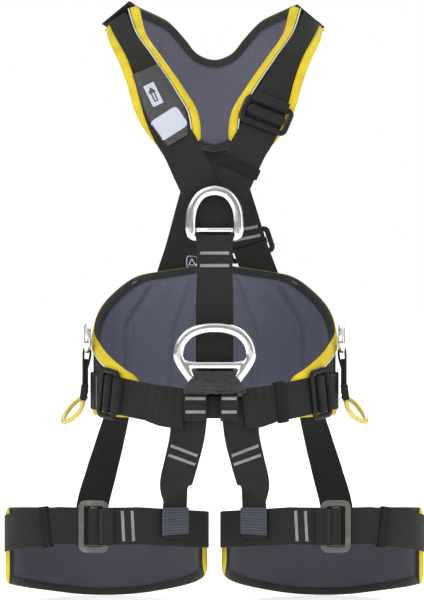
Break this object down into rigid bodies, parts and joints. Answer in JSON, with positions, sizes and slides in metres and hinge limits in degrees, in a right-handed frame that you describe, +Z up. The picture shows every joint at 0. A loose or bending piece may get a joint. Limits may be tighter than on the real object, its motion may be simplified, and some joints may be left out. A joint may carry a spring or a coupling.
{
  "type": "safety harness",
  "caption": "Full body work positioning harness in its worn shape: padded waist belt, shoulder yoke and leg loops joined by webbing, with tilting forged rings and strap adjusters.",
  "frame": {"origin": "middle of the wearer's waist inside the belt", "axes": "+Z up the wearer's body, -Y to the wearer's front, +X to the right as seen from the front"},
  "size_m": [0.5182, 0.2834, 0.746],
  "materials": {
    "webbing": "woven polyester, matt",
    "pad_lining": "brushed knit lining",
    "ring_alloy": "polished",
    "pin_steel": "polished",
    "buckle_black": "black, satin",
    "buckle_grey": "grey, matt, lightly scuffed",
    "elastic": "ribbed elastic",
    "sleeve": "satin protective sleeve",
    "gear_tube": "translucent yellow tube",
    "edge_tape": "yellow edge tape",
    "dark_binding": "dark edge binding",
    "piping": "pale piping",
    "stitching": "grey bar tacks",
    "label": "blank printed label"
  },
  "bodies": {
    "harness": {"back_yoke_pad": "pad_lining", "belt_buckle_left_frame": "buckle_black", "belt_buckle_right_frame": "buckle_black", "belt_centre_patch": "webbing", "belt_front_left": "webbing", "belt_front_right": "webbing", "chest_strap": "webbing", "dorsal_buckle_frame": "buckle_black", "dorsal_plate": "buckle_black", "dorsal_ring_loop": "webbing", "dorsal_strap_left": "webbing", "dorsal_strap_right_lower": "webbing", "dorsal_strap_right_upper": "webbing", "leg_buckle_left_frame": "buckle_grey", "leg_buckle_right_frame": "buckle_grey", "leg_pad_left": "pad_lining", "leg_pad_right": "pad_lining", "leg_riser_left": "webbing", "leg_riser_right": "webbing", "leg_strap_inner_left": "webbing", "leg_strap_inner_right": "webbing", "leg_strap_outer_left": "webbing", "leg_strap_outer_right": "webbing", "rear_leg_strap_left": "webbing", "rear_leg_strap_right": "webbing", "shoulder_buckle_frame": "buckle_black", "shoulder_pad_left": "pad_lining", "shoulder_pad_right": "pad_lining", "shoulder_strap_left": "webbing", "shoulder_strap_right_lower": "webbing", "shoulder_strap_right_upper": "webbing", "side_ring_holder_left": "webbing", "side_ring_holder_right": "webbing", "waist_belt_back": "webbing", "waist_pad": "pad_lining"},
    "chest_ring": {"sternal_ring": "ring_alloy", "sternal_ring_pin": "pin_steel"},
    "belly_ring": {"ventral_ring": "ring_alloy", "ventral_loop_sleeve": "sleeve"},
    "back_ring": {"dorsal_ring": "ring_alloy"},
    "hip_ring_left": {"side_ring_left": "ring_alloy"},
    "hip_ring_right": {"side_ring_right": "ring_alloy"},
    "gear_loop_left": {"gear_loop_left": "gear_tube"},
    "gear_loop_right": {"gear_loop_right": "gear_tube"},
    "shoulder_slide_bar": {"shoulder_buckle_slide_bar": "buckle_black"},
    "dorsal_slide_bar": {"dorsal_buckle_slide_bar": "buckle_black"},
    "belt_slide_bar_left": {"belt_buckle_left_slide_bar": "buckle_black"},
    "belt_slide_bar_right": {"belt_buckle_right_slide_bar": "buckle_black"},
    "leg_slide_bar_left": {"leg_buckle_left_slide_bar": "buckle_grey"},
    "leg_slide_bar_right": {"leg_buckle_right_slide_bar": "buckle_grey"},
    "shoulder_keeper": {"shoulder_strap_keeper": "elastic"},
    "belt_keeper": {"belt_keeper": "elastic"},
    "leg_keeper_left": {"leg_keeper_left": "elastic"},
    "leg_keeper_right": {"leg_keeper_right": "elastic"}
  },
  "joints": [
    {"name": "chest_ring_tilt", "type": "hinge", "parent": "harness", "child": "chest_ring", "pos_m": [0, -0.1315, 0.1185], "axis": [1, 0, 0], "range_deg": [0, 120]},
    {"name": "belly_ring_tilt", "type": "hinge", "parent": "harness", "child": "belly_ring", "pos_m": [0, -0.1306, -0.0645], "axis": [1, 0, 0], "range_deg": [0, 95]},
    {"name": "back_ring_tilt", "type": "hinge", "parent": "harness", "child": "back_ring", "pos_m": [0, 0.1394, 0.248], "axis": [1, 0, 0], "range_deg": [0, 150]},
    {"name": "hip_ring_left_tilt", "type": "hinge", "parent": "harness", "child": "hip_ring_left", "pos_m": [-0.15698, -0.00672, -0.016], "axis": [0.067, -0.9978, 0], "range_deg": [0, 100]},
    {"name": "hip_ring_right_tilt", "type": "hinge", "parent": "harness", "child": "hip_ring_right", "pos_m": [0.15698, -0.00672, -0.016], "axis": [0.067, 0.9978, 0], "range_deg": [0, 100]},
    {"name": "gear_loop_left_lift", "type": "hinge", "parent": "harness", "child": "gear_loop_left", "pos_m": [-0.1598, 0.003, -0.073], "axis": [0, 1, 0], "range_deg": [0, 70]},
    {"name": "gear_loop_right_lift", "type": "hinge", "parent": "harness", "child": "gear_loop_right", "pos_m": [0.1598, 0.003, -0.073], "axis": [0, -1, 0], "range_deg": [0, 70]},
    {"name": "shoulder_buckle_lock", "type": "slide", "parent": "harness", "child": "shoulder_slide_bar", "axis": [-0.3854, -0.2206, -0.896], "range_m": [-0.004, 0.004]},
    {"name": "dorsal_buckle_lock", "type": "slide", "parent": "harness", "child": "dorsal_slide_bar", "axis": [0.3104, -0.0594, -0.9488], "range_m": [-0.004, 0.004]},
    {"name": "belt_buckle_left_lock", "type": "slide", "parent": "harness", "child": "belt_slide_bar_left", "axis": [-0.6457, 0.7475, 0.1559], "range_m": [-0.004, 0.004]},
    {"name": "belt_buckle_right_lock", "type": "slide", "parent": "harness", "child": "belt_slide_bar_right", "axis": [-0.6457, -0.7475, -0.1559], "range_m": [-0.004, 0.004]},
    {"name": "leg_buckle_left_lock", "type": "slide", "parent": "harness", "child": "leg_slide_bar_left", "axis": [0.9973, -0.0733, 0], "range_m": [-0.004, 0.004]},
    {"name": "leg_buckle_right_lock", "type": "slide", "parent": "harness", "child": "leg_slide_bar_right", "axis": [-0.9973, -0.0733, 0], "range_m": [-0.004, 0.004]},
    {"name": "shoulder_keeper_slide", "type": "slide", "parent": "harness", "child": "shoulder_keeper", "axis": [-0.4038, -0.0727, -0.912], "range_m": [-0.002, 0.006]},
    {"name": "belt_keeper_slide", "type": "slide", "parent": "harness", "child": "belt_keeper", "axis": [-0.8928, -0.4272, -0.1432], "range_m": [-0.004, 0.004]},
    {"name": "leg_keeper_left_slide", "type": "slide", "parent": "harness", "child": "leg_keeper_left", "axis": [0.861, -0.488, 0.143], "range_m": [-0.005, 0.005]},
    {"name": "leg_keeper_right_slide", "type": "slide", "parent": "harness", "child": "leg_keeper_right", "axis": [-0.861, -0.488, 0.143], "range_m": [-0.005, 0.005]}
  ]
}
